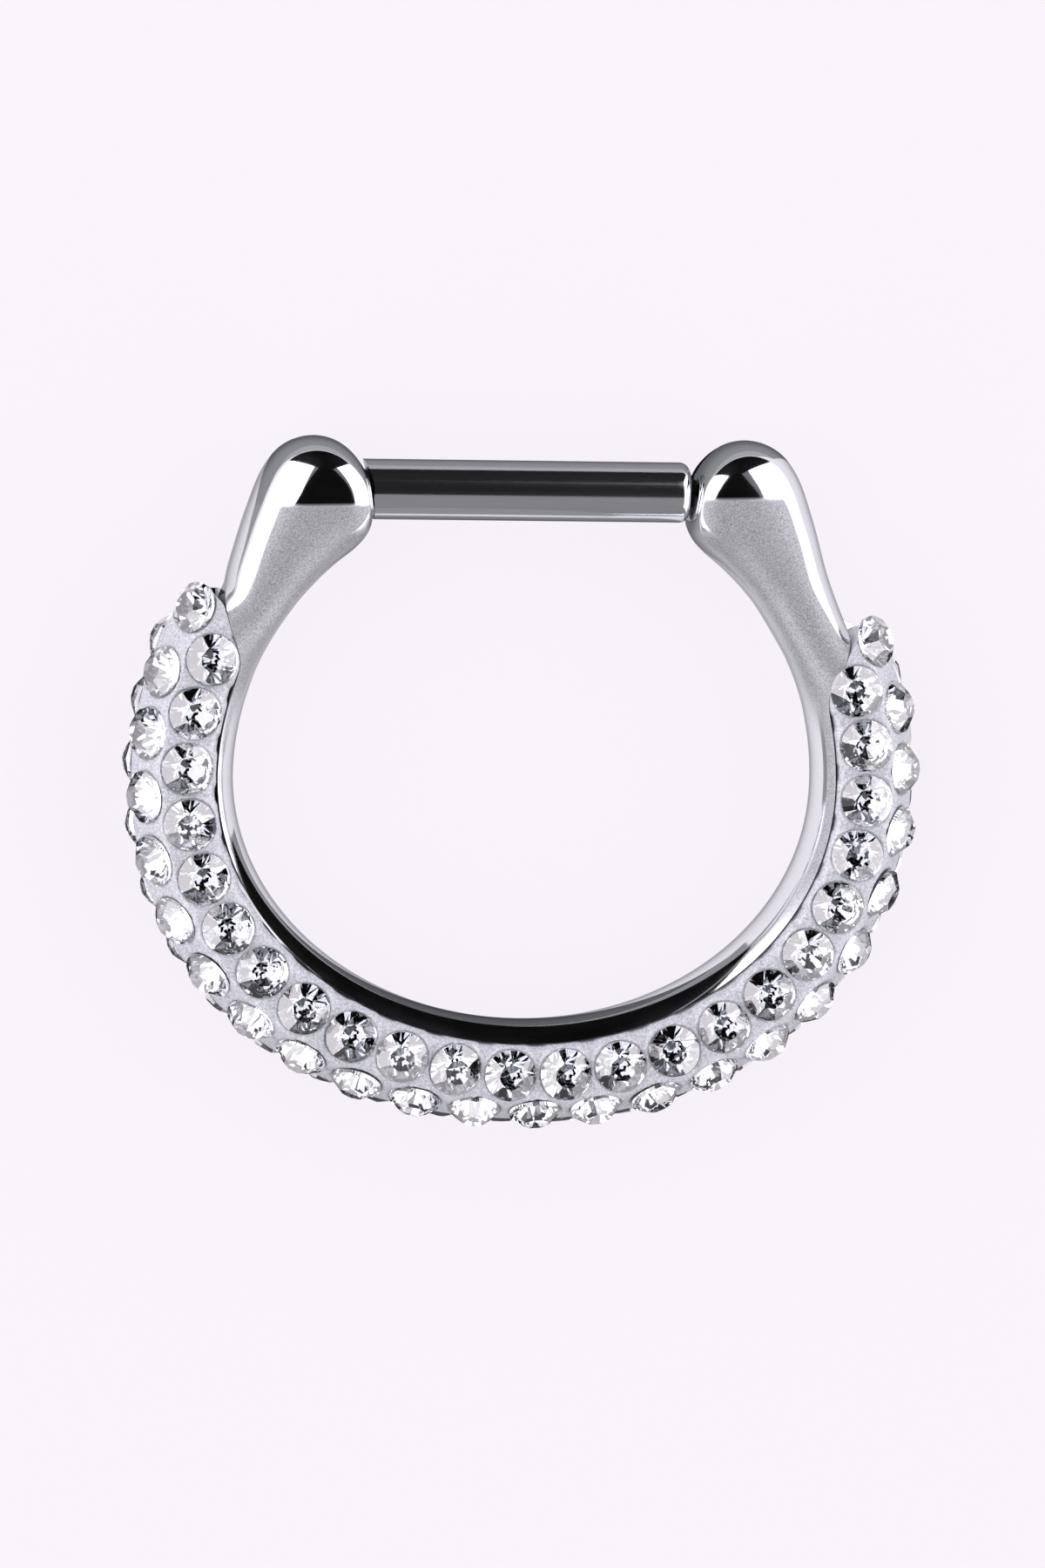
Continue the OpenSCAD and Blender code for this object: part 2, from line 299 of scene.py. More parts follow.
def steel_rings(s, per=8, count=96):
    """Sections of the horseshoe, from the right knob round the bottom to the left one.

    Each is a squarish round between its inner and outer point, and half its depth up and down:
    a cosine across and a sine up, both bent. Where the putty takes over, it is cut off flat at
    the share of its width that is steel."""
    rows = smooth_rows(hoop_rows(s), per)
    inner, outer = rows[:, 0:2], rows[:, 2:4]
    half_d, power = rows[:, 4:5], rows[:, 5:6]
    kept = np.clip(rows[:, 6:7], 0, 1)
    half_w = np.linalg.norm(outer - inner, axis=1, keepdims=True) / 2
    way = (outer - inner) / (2 * half_w)
    cut = kept * 2 * half_w
    corner = np.arccos(bent(2 * kept - 1, 4 / power)).clip(0, math.pi)
    corner_up = half_d * bent(np.sin(corner), power)
    q = section_angles(corner, count)
    flat = np.abs(q) < corner
    across = np.where(flat, cut, np.minimum(half_w * (1 + bent(np.cos(q), power)), cut))
    up = np.where(flat, corner_up * q / np.maximum(corner, 1e-9), half_d * bent(np.sin(q), power))
    xy = inner[:, None, :] + way[:, None, :] * across[..., None]
    return np.concatenate([xy, up[..., None]], -1)


def with_rounded_ends(rings, edge=0.02, steps=5):
    """The rings, with each end rounded over a small edge and closed flat towards its middle."""
    def closing(ring, beyond):
        middle = ring.mean(0)
        push = unit(middle - beyond.mean(0)) * edge
        size = np.linalg.norm(ring - middle, axis=1).max()
        out = []
        for angle in np.linspace(0, math.pi / 2, steps + 1)[1:]:
            scale = 1 - edge * (1 - math.cos(angle)) / size
            out.append(middle + (ring - middle) * scale + push * math.sin(angle))
        for scale in (0.7, 0.4, 0.15):
            out.append(middle + (ring - middle) * scale + push)
        return np.array(out)

    first = closing(rings[0], rings[1])[::-1]
    last = closing(rings[-1], rings[-2])
    return np.concatenate([first, rings, last])


def circle(r, count, start=0, end=360):
    """Points on a circle, or on an arc of it with both its ends."""
    a = np.radians(np.linspace(start, end, count, endpoint=end - start < 360))
    return r * np.stack([np.cos(a), np.sin(a)], -1)


def stone_top(s, g, t):
    """Height of the tables above the band's centre line, at angle t."""
    return tube_r(s, t) * FLAT + g.seat_gap + g.girdle_h + g.crown_h


def stone_places(s, g):
    """Angle along the band and angle round the tube of every stone.

    Each row holds its stones at even distances along the centre line; the rows between them
    stand half a step on, with one stone fewer."""
    sweep = 180 + g.first_stone + g.last_stone
    angles = np.linspace(-180 - g.first_stone, g.last_stone, round(sweep / 1.5) + 1)
    line, _ = curve_point(s, angles, tube_r(s, angles))
    lengths = np.concatenate([[0], np.cumsum(np.linalg.norm(np.diff(line, axis=0), axis=1))])
    places = []
    for around, fewer in ROWS:
        for k in range(g.front_count - fewer):
            t = np.interp((k + fewer / 2) / (g.front_count - 1) * lengths[-1], lengths, angles)
            places.append((t, around))
    for around, beyond in END_STONES:
        places += [(-180 - g.first_stone - beyond, around), (g.last_stone + beyond, around)]
    return places


def shift(s):
    """Move from the ring's middle plane to its place on the floor: the outline, taken over the
    outer rows' tables, is centred on X and Y, and the back row's tables stand on Z = 0."""
    g = stone_sizes()
    row = math.radians(ROW_STEP)
    t = np.arange(-180 - g.first_stone, g.last_stone + 1e-6, 1.0)
    centre, n = curve_point(s, t, tube_r(s, t))
    reach = stone_top(s, g, t) * math.sin(row) + g.solid_table_r * math.cos(row)
    outline = centre + n * reach[:, None]
    lift = max(stone_top(s, g, t) for t, around in stone_places(s, g) if around == 180)
    x = (outline[:, 0].max() + outline[:, 0].min()) / 2
    y = (s.bar_y + s.knob_r + outline[:, 1].min()) / 2
    return np.array([-x, -y, lift])


def set_down(s, points):
    """Points from the ring's middle plane into the shared frame, in metres."""
    return (np.asarray(points) + shift(s)) * 0.001


# Meshes and pieces


def skin(rings):
    """Points and faces of a closed skin over rings with the same number of points."""
    m, n = rings.shape[:2]
    i = np.arange(m - 1)[:, None] * n
    k = np.arange(n)[None, :]
    j = (k + 1) % n
    quads = np.stack([i + k, i + n + k, i + n + j, i + j], -1).reshape(-1, 4)
    last = (m - 1) * n
    k, j = k[0], j[0]
    first_cap = np.stack([np.full(n, m * n), k, j], -1)
    last_cap = np.stack([np.full(n, m * n + 1), last + j, last + k], -1)
    points = np.vstack([rings.reshape(-1, 3), rings[0].mean(0), rings[-1].mean(0)])
    return points, quads.tolist() + first_cap.tolist() + last_cap.tolist()


def prism(outline, low, high):
    """Points and faces of a plate with this outline, anticlockwise, from one height to another."""
    outline = np.asarray(outline, float)
    n = len(outline)
    points = np.vstack([np.c_[outline, np.full(n, low)], np.c_[outline, np.full(n, high)]])
    sides = [[k, (k + 1) % n, n + (k + 1) % n, n + k] for k in range(n)]
    return points, sides + [list(range(n))[::-1], list(range(n, 2 * n))]


def volume(points, faces):
    """Six times the volume inside a closed mesh, negative where its faces look inward."""
    total = 0.0
    for size in {len(f) for f in faces}:
        group = points[np.array([f for f in faces if len(f) == size])]
        for k in range(1, size - 1):
            total += np.einsum("ij,ij->i", group[:, 0], np.cross(group[:, k], group[:, k + 1])).sum()
    return total


def mesh_object(name, points, faces):
    """A mesh object at the origin, its faces turned outward."""
    if volume(points, faces) < 0:
        faces = [f[::-1] for f in faces]
    mesh = bpy.data.meshes.new(name)
    mesh.from_pydata(points.tolist(), [], faces)
    mesh.validate()
    obj = bpy.data.objects.new(name, mesh)
    bpy.context.scene.collection.objects.link(obj)
    return obj


def skin_object(s, name, rings):
    """A closed skin over the rings, set down in the shared frame."""
    points, faces = skin(rings)
    return mesh_object(name, set_down(s, points), faces)


def plate(s, name, outline, low, high):
    """A plate with this outline from one height to another, set down in the shared frame."""
    points, faces = prism(outline, low, high)
    return mesh_object(name, set_down(s, points), faces)


def carve(obj, other, operation="DIFFERENCE"):
    """Cuts obj with another closed mesh, or joins the two, and removes that other one."""
    modifier = obj.modifiers.new(operation.title(), "BOOLEAN")
    modifier.operation = operation
    modifier.solver = "EXACT"
    modifier.object = other
    bpy.context.view_layer.update()
    made = bpy.data.meshes.new_from_object(obj.evaluated_get(bpy.context.evaluated_depsgraph_get()))
    if not made.polygons:
        raise RuntimeError(f"{obj.name}: the {operation.lower()} left nothing")
    obj.modifiers.clear()
    old, obj.data = obj.data, made
    made.name = old.name
    bpy.data.meshes.remove(old)
    cutter = other.data
    bpy.data.objects.remove(other)
    bpy.data.meshes.remove(cutter)


def finish_piece(obj, body, node, materials, sharp=None):
    """Gives a piece its shading and materials, and sets it on its body in place of its node."""
    if sharp is not None:
        obj.data.shade_smooth()
        obj.data.set_sharp_from_angle(angle=math.radians(sharp))
    obj.data.materials.clear()
    for material in materials:
        obj.data.materials.append(material)
    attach(obj, body)
    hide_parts(node)


# Materials


def new_material(name):
    """A new material, its node tree and its shader."""
    material = bpy.data.materials.new(name)
    material.use_nodes = True
    tree = material.node_tree
    return material, tree, tree.nodes["Principled BSDF"]


def set_inputs(node, values):
    """Sets a node's inputs, each by its name."""
    for socket, value in values.items():
        node.inputs[socket].default_value = value


def noise(tree, scale, detail, where, drawn=1.0):
    """Noise in object coordinates; a small drawn stretches it along X."""
    coord = tree.nodes.new("ShaderNodeTexCoord")
    coord.location = (where[0] - 400, where[1])
    stretch = tree.nodes.new("ShaderNodeVectorMath")
    stretch.operation = "MULTIPLY"
    stretch.location = (where[0] - 200, where[1])
    stretch.inputs[1].default_value = (drawn, 1, 1)
    tree.links.new(coord.outputs["Object"], stretch.inputs[0])
    texture = tree.nodes.new("ShaderNodeTexNoise")
    texture.location = where
    set_inputs(texture, {"Scale": scale, "Detail": detail})
    tree.links.new(stretch.outputs["Vector"], texture.inputs["Vector"])
    return texture.outputs["Fac"]


def ranged(tree, value, low, high, where, start=0.3, end=0.7):
    """A value that runs from start to end, brought to run from low to high."""
    node = tree.nodes.new("ShaderNodeMapRange")
    node.location = where
    set_inputs(node, {"From Min": start, "From Max": end, "To Min": low, "To Max": high})
    tree.links.new(value, node.inputs["Value"])
    return node.outputs["Result"]


def bump(tree, height, distance, strength, where):
    """A surface that height makes uneven by a distance in metres."""
    node = tree.nodes.new("ShaderNodeBump")
    node.location = where
    set_inputs(node, {"Strength": strength, "Distance": distance})
    tree.links.new(height, node.inputs["Height"])
    return node.outputs["Normal"]


def arithmetic(tree, operation, a, b, where):
    """The sum, product or the like of two values, each an output or a plain number."""
    node = tree.nodes.new("ShaderNodeMath")
    node.location = where
    node.operation = operation
    for socket, value in zip(node.inputs, (a, b)):
        if isinstance(value, (int, float)):
            socket.default_value = value
        else:
            tree.links.new(value, socket)
    return node.outputs["Value"]


def zones(tree, along, stops, where):
    """A value that follows stops along a direction of the object: distance in millimetres, value.

    along gives how much of X, Y and Z the distance counts."""
    coord = tree.nodes.new("ShaderNodeTexCoord")
    coord.location = (where[0] - 400, where[1])
    dot = tree.nodes.new("ShaderNodeVectorMath")
    dot.operation = "DOT_PRODUCT"
    dot.location = (where[0] - 200, where[1])
    dot.inputs[1].default_value = along
    tree.links.new(coord.outputs["Object"], dot.inputs[0])
    low, high = stops[0][0] / 1000, stops[-1][0] / 1000
    fit = ranged(tree, dot.outputs["Value"], 0, 1, where, low, high)
    ramp = tree.nodes.new("ShaderNodeValToRGB")
    ramp.location = (where[0] + 200, where[1])
    ramp.color_ramp.interpolation = "EASE"
    for k, (at, level) in enumerate(stops):
        place = (at / 1000 - low) / (high - low)
        element = ramp.color_ramp.elements[k] if k < 2 else ramp.color_ramp.elements.new(place)
        element.position = place
        element.color = (level, level, level, 1)
    tree.links.new(fit, ramp.inputs["Fac"])
    return ramp.outputs["Color"]


def satin_share(tree, patches):
    """How satin the surface is: the most that any patch says, where each patch is a list of
    directions with stops along them and says their product."""
    most = 0
    for k, patch in enumerate(patches):
        part = 1
        for i, (along, stops) in enumerate(patch):
            zone = zones(tree, along, stops, (-1400, 700 + 900 * k + 300 * i))
            part = arithmetic(tree, "MULTIPLY", zone, part, (-900 + 100 * i, 700 + 900 * k))
        most = arithmetic(tree, "MAXIMUM", part, most, (-500, 700 + 200 * k))
    return most


# Satin steel against polished steel: what is added to its roughness, the share that scatters
# light like a dull surface, how much darker its tone is, and what is added to its specks
SATIN_ROUGH = 0.36
SATIN_DULL = 0.6
SATIN_DARKER = 0.59
SATIN_SPECK = 0.22

# How strong the specks are on polished steel
POLISHED_SPECK = 0.08


def steel_material(name, steel, rough, grain, satin=(), drawn=1.0):
    """Polished steel: a mirror with a very fine polishing grain in its gloss and surface.

    A small drawn stretches the grain along X, as on a drawn bar. Patches of satin are soft and
    partly dull, and there the grain shows as fine light and dark specks."""
    material, tree, shader = new_material(name)
    set_inputs(shader, {"Metallic": 1, "Specular Tint": (0.4, 0.4, 0.41, 1)})
    fine = noise(tree, 36000, 2, (-900, 0), drawn)
    wide = noise(tree, 1500, 3, (-900, -300), drawn)
    roughness = ranged(tree, wide, rough * 0.7, rough * 1.5, (-600, 0))
    speck = ranged(tree, fine, -0.5, 0.5, (-600, 300))
    tone = arithmetic(tree, "MULTIPLY", speck, POLISHED_SPECK, (-300, 400))
    tone = arithmetic(tree, "ADD", tone, 1, (-200, 400))
    if satin:
        much = satin_share(tree, satin)
        softer = arithmetic(tree, "MULTIPLY", much, SATIN_ROUGH, (-400, 200))
        roughness = arithmetic(tree, "ADD", roughness, softer, (-250, 100))
        duller = arithmetic(tree, "MULTIPLY", much, -SATIN_DULL, (-400, 800))
        tree.links.new(arithmetic(tree, "ADD", duller, 1, (-250, 800)), shader.inputs["Metallic"])
        darker = arithmetic(tree, "MULTIPLY", speck, SATIN_SPECK, (-400, 600))
        darker = arithmetic(tree, "SUBTRACT", darker, SATIN_DARKER, (-300, 600))
        darker = arithmetic(tree, "MULTIPLY", darker, much, (-200, 600))
        tone = arithmetic(tree, "ADD", tone, darker, (-100, 500))
    tree.links.new(roughness, shader.inputs["Roughness"])
    tint = tree.nodes.new("ShaderNodeVectorMath")
    tint.operation = "SCALE"
    tint.location = (-50, 400)
    tint.inputs[0].default_value = steel
    tree.links.new(tone, tint.inputs["Scale"])
    tree.links.new(tint.outputs["Vector"], shader.inputs["Base Color"])
    tree.links.new(bump(tree, fine, grain, 0.6, (-250, -300)), shader.inputs["Normal"])
    return material


def putty_material(name, putty, pearl):
    """Putty: light grey with a fine pearly grain, a little uneven in colour and gloss."""
    material, tree, shader = new_material(name)
    shader.inputs["Metallic"].default_value = 0.15
    grain = noise(tree, 22000, 4, (-900, 200))
    patches = noise(tree, 1200, 3, (-900, -100))
    mix = tree.nodes.new("ShaderNodeMix")
    mix.data_type = "RGBA"
    mix.location = (-400, 200)
    set_inputs(mix, {"A": (*putty, 1), "B": (*pearl, 1)})
    tree.links.new(ranged(tree, grain, 0, 1, (-600, 300), 0.35, 0.68), mix.inputs["Factor"])
    tree.links.new(mix.outputs["Result"], shader.inputs["Base Color"])
    tree.links.new(ranged(tree, patches, 0.34, 0.5, (-600, 0)), shader.inputs["Roughness"])
    tree.links.new(bump(tree, grain, 6e-6, 0.5, (-400, -200)), shader.inputs["Normal"])
    return material


def crystal_material(name, crystal):
    """Clear cut crystal with a bright surface."""
    material, tree, shader = new_material(name)
    set_inputs(shader, {
        "Base Color": (*crystal, 1),
        "Transmission Weight": 1,
        "IOR": 1.6,
        "Coat Weight": 1,
        "Coat IOR": 3.0,
        "Coat Roughness": 0.01,
    })
    wear = noise(tree, 2500, 2, (-700, 0))
    tree.links.new(ranged(tree, wear, 0.0, 0.006, (-400, 0)), shader.inputs["Roughness"])
    return material


def foil_material(name, foil):
    """The silvered back of a stone, seen through the crystal."""
    material, tree, shader = new_material(name)
    set_inputs(shader, {"Base Color": (*foil, 1), "Metallic": 1})
    streaks = noise(tree, 9000, 2, (-700, 0))
    tree.links.new(ranged(tree, streaks, 0.0, 0.015, (-400, 0)), shader.inputs["Roughness"])
    return material


def card_material(name, level):
    """A plain card of one grey, the same in any light."""
    material, _, shader = new_material(name)
    set_inputs(shader, {
        "Base Color": (0.004, 0.004, 0.004, 1),
        "Roughness": 1,
        "Specular IOR Level": 0,
        "Emission Color": (level, level, level * 1.04, 1),
        "Emission Strength": 1,
    })
    return material


def floor_material(name, floor):
    """A pale floor that glows evenly and takes only a little light and shade."""
    material, _, shader = new_material(name)
    set_inputs(shader, {
        "Base Color": (*[c * 0.07 for c in floor], 1),
        "Roughness": 0.9,
        "Specular IOR Level": 0,
        "Emission Color": (*floor, 1),
        "Emission Strength": 0.917,
    })
    return material


# The hoop

# Reach of the catch tongue into its knob, and half its height
TONGUE_REACH = 0.5
TONGUE_HALF_H = 0.25

# Steel in front of the pin, and the pin's fit in its bore
PIN_SKIN = 0.25
FIT = 0.01

# Patches of satin on the hoop: directions in the shared frame, and stops along each of them, a
# distance in millimetres and a share of satin. The first covers the fronts of the legs, up to a
# line across the knobs, and the second the front of the track on the catch's side.
LEG_FRONTS = (
    ((-0.026, 1, 0), [(-3, 0), (0.6, 0), (1.6, 0.5), (2.6, 1), (5.68, 1), (5.78, 0)]),
    ((0, -0.065, 1), [(0.9, 0.1), (1.82, 0.1), (1.838, 1), (3, 1)]),
)
TRACK_FRONT = (
    ((1, 0, 0), [(3.5, 0), (4.8, 1), (8, 1)]),
    ((0, 1, 0), [(-4, 0), (-1.5, 1), (2.4, 1), (3.2, 0)]),
    ((0, 0, 1), [(1.8, 0), (1.9, 0), (1.92, 1), (3, 1)]),
)


def leg_flank(side):
    """Patch of satin on the outer flank of the left leg, side -1, or of the right one, side 1."""
    return (
        ((side * 0.82, 0.57, 0), [(4.6, 0), (5.0, 1), (6.3, 1), (6.42, 0)]),
        ((0, 1, 0), [(0.8, 0), (2.2, 1), (5, 1), (5.3, 0)]),
        ((0, -0.065, 1), [(0.8, 0), (1.4, 0.4), (1.7, 1), (3, 1)]),
    )


def knob_centres(s):
    """Centres of the left knob, which holds the hinge, and of the right one, the catch."""
    right = np.array([s.knob_x, s.bar_y])
    return right * [-1, 1], right


def knob_face(s):
    """The knob's face towards the bar: its distance from the knob's centre on the bar's axis,
    and its slope."""
    inner_x, inner_y, outer_x, outer_y, _ = KNOB[0]
    part = -inner_y / (outer_y - inner_y)
    return -inner_x + (inner_x - outer_x) * part, math.atan2(outer_x - inner_x, outer_y - inner_y)


def tongue_r(s):
    """Radius of the hinge tongue: half the bar's height at the tongue's rear face, less play."""
    return math.sqrt((s.bar_d / 2) ** 2 - (s.tongue_back + s.tongue_t / 2) ** 2) - s.play


def tongue_heights(s):
    """Heights of the tongues' two faces."""
    return -s.tongue_back - s.tongue_t / 2, -s.tongue_back + s.tongue_t / 2


class OBJECT_OT_clicker_hoop(Operator):
    """Steel horseshoe with its knobs, legs and track, and the slots for the bar's tongues"""

    bl_idname = "object.clicker_hoop"
    bl_label = "Hoop"

    def execute(self, context):
        s = ring_sizes()
        obj = skin_object(s, "hoop_steel", with_rounded_ends(steel_rings(s)))
        hinge, catch = knob_centres(s)
        low, high = tongue_heights(s)
        low, high = low - s.play, high + s.play
        far = 4 * s.knob_r
        r = tongue_r(s) + s.play
        hinge_slot = np.vstack([circle(r, 64, 180, 270), [[far, -r], [far, far], [-r, far]]]) + hinge
        carve(obj, plate(s, "slot", hinge_slot, low, high))
        bore = circle(s.pin_d / 2 + FIT, 64) + hinge
        carve(obj, plate(s, "bore", bore, -2 * s.band_r, s.knob_half_depth - PIN_SKIN))
        face_x, _ = knob_face(s)
        depth = face_x - TONGUE_REACH - 2 * s.play
        foot = -TONGUE_HALF_H - 2 * s.play
        catch_slot = np.array([[-far, foot], [-depth, foot], [-depth, far], [-far, far]]) + catch
        carve(obj, plate(s, "catch", catch_slot, low, high))
        steel = context.scene.clicker_colours.steel
        satin = (LEG_FRONTS, leg_flank(-1), leg_flank(1), TRACK_FRONT)
        material = steel_material("polished_steel", steel, 0.06, 1.2e-7, satin)
        finish_piece(obj, "ring", "hoop", [material], 35)
        return {"FINISHED"}


# The putty and the stones


def stone_frames(s, g):
    """Origins on the band's centre line, axes, first side directions and seat heights of all
    the stones."""
    t, a = np.array(stone_places(s, g)).T
    centre, n = curve_point(s, t, tube_r(s, t))
    sin, cos = np.sin(np.radians(a))[:, None], np.cos(np.radians(a))[:, None]
    axis = np.concatenate([n * sin, cos], 1)
    side = np.concatenate([n * cos, -sin], 1)
    return np.c_[centre, np.zeros(len(t))], axis, side, stone_top(s, g, t) - g.girdle_h - g.crown_h


def flat_outline(a):
    """Radius of the putty at angle a round the tube, as a share of the tube's: six flats, one
    under each row, with their corners rounded off."""
    corner_cut, sharpness = 0.03, 6
    off = a - ROW_STEP * np.round(a / ROW_STEP)
    r = FLAT / np.cos(np.radians(off))
    return r - corner_cut * (np.abs(off) / (ROW_STEP / 2)) ** sharpness


def pressed(s, g, middle, way, radius, room):
    """Radius of the putty, measured from middle along way, once the stones are pressed in.

    Round each stone the putty's height is worked out from the distance to the stone's axis:
    below the silvered back inside the girdle, and up to the girdle in a thin lip round it. Every
    point within reach of a stone and facing it moves along its way to that height, in rounds
    that each take most of the step still left. The putty gives way inside every girdle, and
    outside it rises to the lip by no more than room."""
    height_at = np.array([
        [0, -g.pavilion_h - 0.04],
        [0.93 * g.girdle_r, -0.07 * g.pavilion_h - 0.03],
        [g.girdle_r, -0.01],
        [g.girdle_r + 0.015, 0.018],
        [g.girdle_r + 0.05, 0.0],
        [g.girdle_r + 0.12, -0.06],
        [3, -3],
    ])
    reach, facing, far = 0.9, 0.45, 9.0
    rounds, longest_step, taken = 12, 0.15, 0.7
    lower = np.full(radius.shape, far)
    raised = np.zeros(radius.shape)
    for origin, axis, _, seat_h in zip(*stone_frames(s, g)):
        seat = origin + axis * seat_h
        near = np.linalg.norm(middle + way * radius[..., None] - seat, axis=-1) < reach
        near &= way @ axis > facing
        c, u, r = middle[near] - origin, way[near], radius[near].copy()
        for _ in range(rounds):
            p = c + u * r[:, None]
            h = p @ axis
            d = np.linalg.norm(p - h[:, None] * axis, axis=1)
            want = seat_h + np.interp(d, height_at[:, 0], height_at[:, 1])
            r += np.clip((want - h) / (u @ axis), -longest_step, longest_step) * taken
        lower[near] = np.minimum(lower[near], np.where(d < g.girdle_r, r, far))
        raised[near] = np.maximum(raised[near], r)
    return np.minimum(np.maximum(radius, np.minimum(raised, radius + room)), lower)


def bed_surface(s, g, along=660, around=138):
    """Rings of the putty round the tube, open towards the track and then closed along it.

    The radius follows the six flats, shrinks to a rounded end at each leg, waves very slightly
    and gives way under the stones. The lip round a stone is thin, and grows at the rounded ends
    into a dab that carries the end stones. What would sink into the steel is moved out onto it.
    The rings are crowded a little towards both ends and the bottom."""
    steel_gap, wave, lip, dab, crowding = 0.008, 0.004, 0.05, 0.7, 0.0175
    steps = np.linspace(0, 1, along)
    steps = steps - crowding * np.sin(4 * math.pi * steps)
    t = s.bed_end - (180 + 2 * s.bed_end) * steps
    above = np.where(t > -90, t, -180 - t)
    end = smooth_rows(BED_END, 8)
    part = np.interp(s.bed_end - above, end[:, 0], end[:, 1])
    steel_t = s.leg_w + (s.track_t - s.leg_w) * STEEL_END[:, 1]
    cut = np.interp(above, STEEL_END[::-1, 0], steel_t[::-1]) + steel_gap
    tube = tube_r(s, t)
    first = np.degrees(np.arcsin(np.clip((cut - tube) / (part * tube), -1, 1)))
    a = first[:, None] + (180 - 2 * first)[:, None] * np.linspace(0, 1, around)[None]
    q = np.radians(a)
    centre, n = curve_point(s, t, tube)
    out = np.c_[n, np.zeros(along)][:, None]
    way = out * np.sin(q)[..., None] + UP * np.cos(q)[..., None]
    middle = np.broadcast_to(np.c_[centre, np.zeros(along)][:, None], way.shape)
    waves = np.sin(9 * t / 10)[:, None] * np.sin(q * 5 + 1)
    waves = waves + np.sin(t * 1.7 + 2)[:, None] * np.cos(q * 3)
    radius = (part * tube)[:, None] * flat_outline(a) + wave * waves
    radius = pressed(s, g, middle, way, radius, lip + dab * (1 - part[:, None]))
    points = middle + way * radius[..., None]
    across = np.einsum("ijk,ijk->ij", points - middle, np.broadcast_to(out, points.shape))
    short = np.maximum((cut - tube)[:, None] - across, 0)
    points = points + out * short[..., None]
    on_track = np.array([0.25, 0.5, 0.75])[None, :, None]
    inside = points[:, -1:] + (points[:, :1] - points[:, -1:]) * on_track
    return np.concatenate([points, inside], 1)


class OBJECT_OT_clicker_bed(Operator):
    """Silver-grey putty that fills the outside of the track, pressed in under every stone"""

    bl_idname = "object.clicker_bed"
    bl_label = "Crystal Bed"

    def execute(self, context):
        s = ring_sizes()
        obj = skin_object(s, "putty_bed", bed_surface(s, stone_sizes()))
        colours = context.scene.clicker_colours
        material = putty_material("silver_putty", colours.putty, colours.pearl)
        finish_piece(obj, "ring", "crystal_bed", [material], 70)
        return {"FINISHED"}


# Numbers of a stone's two materials
CRYSTAL, FOIL = 0, 1

# Seed of the stones' turns and leans, the leans' range in degrees, and the range of the depths
# of their backs as shares of the usual one
STONE_SEED = 11
LEAN = (0.5, 6)
BACK_DEPTH = (0.92, 1.08)


def cut_stone(g, sides=8, per=6):
    """Points, faces and material numbers of a round chaton, its seat at Z = 0.

    The crown has a table and eight large facets, each in the plane from a table edge down to
    the girdle, so that the girdle's upper edge dips in the middle of every facet. The back has
    eight kites and sixteen facets and runs to a point."""
    def ring(r, h, start, count):
        a = np.radians(start + 360 / count * np.arange(count))
        return np.stack([r * np.cos(a), r * np.sin(a), np.broadcast_to(h, count)], -1)

    top = g.girdle_h + g.crown_h
    round_count = sides * per
    half_side = 180 / sides
    cos = math.cos(math.radians(half_side))
    flat = g.table * g.girdle_r * cos
    slope = g.crown_h / (g.girdle_r - flat)
    off = np.radians((np.arange(round_count) % per) * 2 * half_side / per - half_side)
    edge_h = top - slope * (g.girdle_r * np.cos(off) - flat)
    back_r = 0.24 * g.girdle_r
    back_h = -g.pavilion_h * (1 - back_r * cos / g.girdle_r)
    points = np.vstack([
        ring(g.table * g.girdle_r, top, 0, sides),
        ring(g.girdle_r, edge_h, 0, round_count),
        ring(g.girdle_r, 0, 0, round_count),
        ring(back_r, back_h, half_side, sides),
        [[0, 0, -g.pavilion_h]],
    ])
    girdle = sides
    seat = girdle + round_count
    back = seat + round_count
    tip = back + sides
    faces, kinds = [list(range(sides))], [CRYSTAL]

    def add(face, kind):
        faces.append(face)
        kinds.append(kind)

    half = per // 2
    for k in range(sides):
        j, b = (k + 1) % sides, (k - 1) % sides
        rim = [(per * k + i) % round_count for i in range(per + 1)]
        add([j, k] + [girdle + i for i in rim], CRYSTAL)
        add([tip, back + k, seat + rim[0], back + b], FOIL)
        add([back + k] + [seat + i for i in rim[half::-1]], FOIL)
        add([back + k] + [seat + i for i in rim[: half - 1 : -1]], FOIL)
    for k in range(round_count):
        j = (k + 1) % round_count
        add([girdle + k, seat + k, seat + j, girdle + j], CRYSTAL)
    return points, faces, kinds


def set_stones(s, g, points):
    """Points of every stone in its place, turned about its axis, leaning a little and with a
    back of its own depth. The back row doesn't lean, because the ring lies on its tables."""
    origins, axes, sides, seats = stone_frames(s, g)
    count = len(origins)
    rng = np.random.default_rng(STONE_SEED)
    turn = rng.uniform(0, 2 * math.pi, count)
    lean = np.radians(rng.uniform(*LEAN, count)) * (axes[:, 2] > -0.9)
    lean_way = rng.uniform(0, 2 * math.pi, count)
    depth = rng.uniform(*BACK_DEPTH, count)
    placed = []
    for k, (origin, axis, side) in enumerate(zip(origins, axes, sides)):
        tilt = side * math.cos(lean_way[k]) + np.cross(axis, side) * math.sin(lean_way[k])
        top = unit(axis + tilt * math.tan(lean[k]))
        x = unit(side - top * (side @ top))
        y = np.cross(top, x)
        cos, sin = math.cos(turn[k]), math.sin(turn[k])
        basis = np.stack([x * cos + y * sin, y * cos - x * sin, top])
        stone = points.copy()
        stone[:, 2] *= np.where(stone[:, 2] < 0, depth[k], 1)
        placed.append(stone @ basis + origin + axis * seats[k])
    return placed


